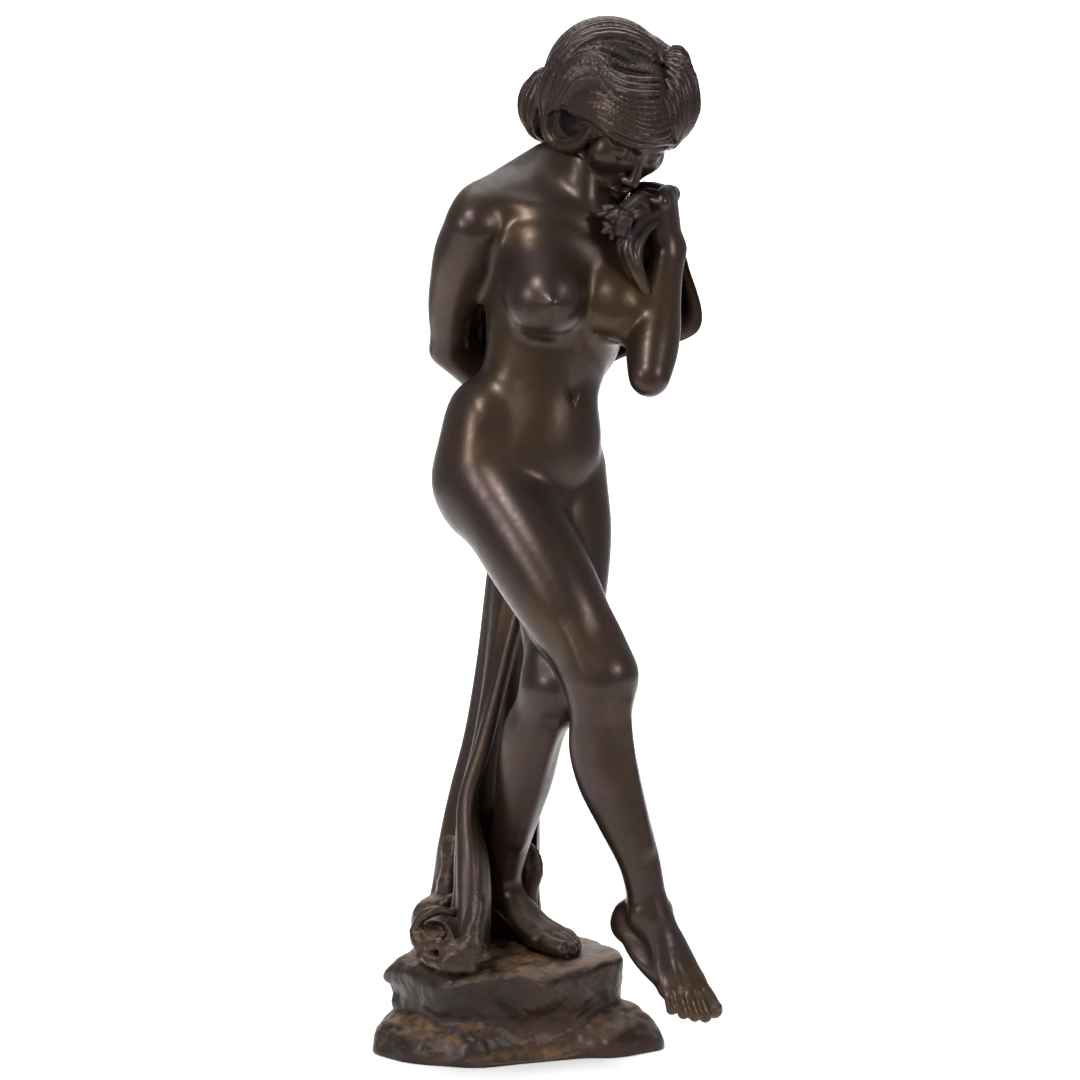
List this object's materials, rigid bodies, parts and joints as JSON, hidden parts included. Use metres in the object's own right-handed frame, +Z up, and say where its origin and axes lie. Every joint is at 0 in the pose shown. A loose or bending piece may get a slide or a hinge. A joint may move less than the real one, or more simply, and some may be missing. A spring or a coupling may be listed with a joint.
{
  "type": "standing nude figure",
  "caption": "Cast bronze standing nude bather stepping off a low rock, holding a long cloth behind her.",
  "frame": {"origin": "middle of the rock's flat underside", "axes": "+Z up through the figure to the crown of the hair, -Y to the front, +X to the side of the hanging foot"},
  "size_m": [0.2987, 0.225, 0.8905],
  "materials": {
    "bronze": "dark brown waxed bronze patina, ochre dirt on the rock and in the hem"
  },
  "bodies": {
    "root": {"bather_on_rock": "bronze"}
  },
  "joints": []
}
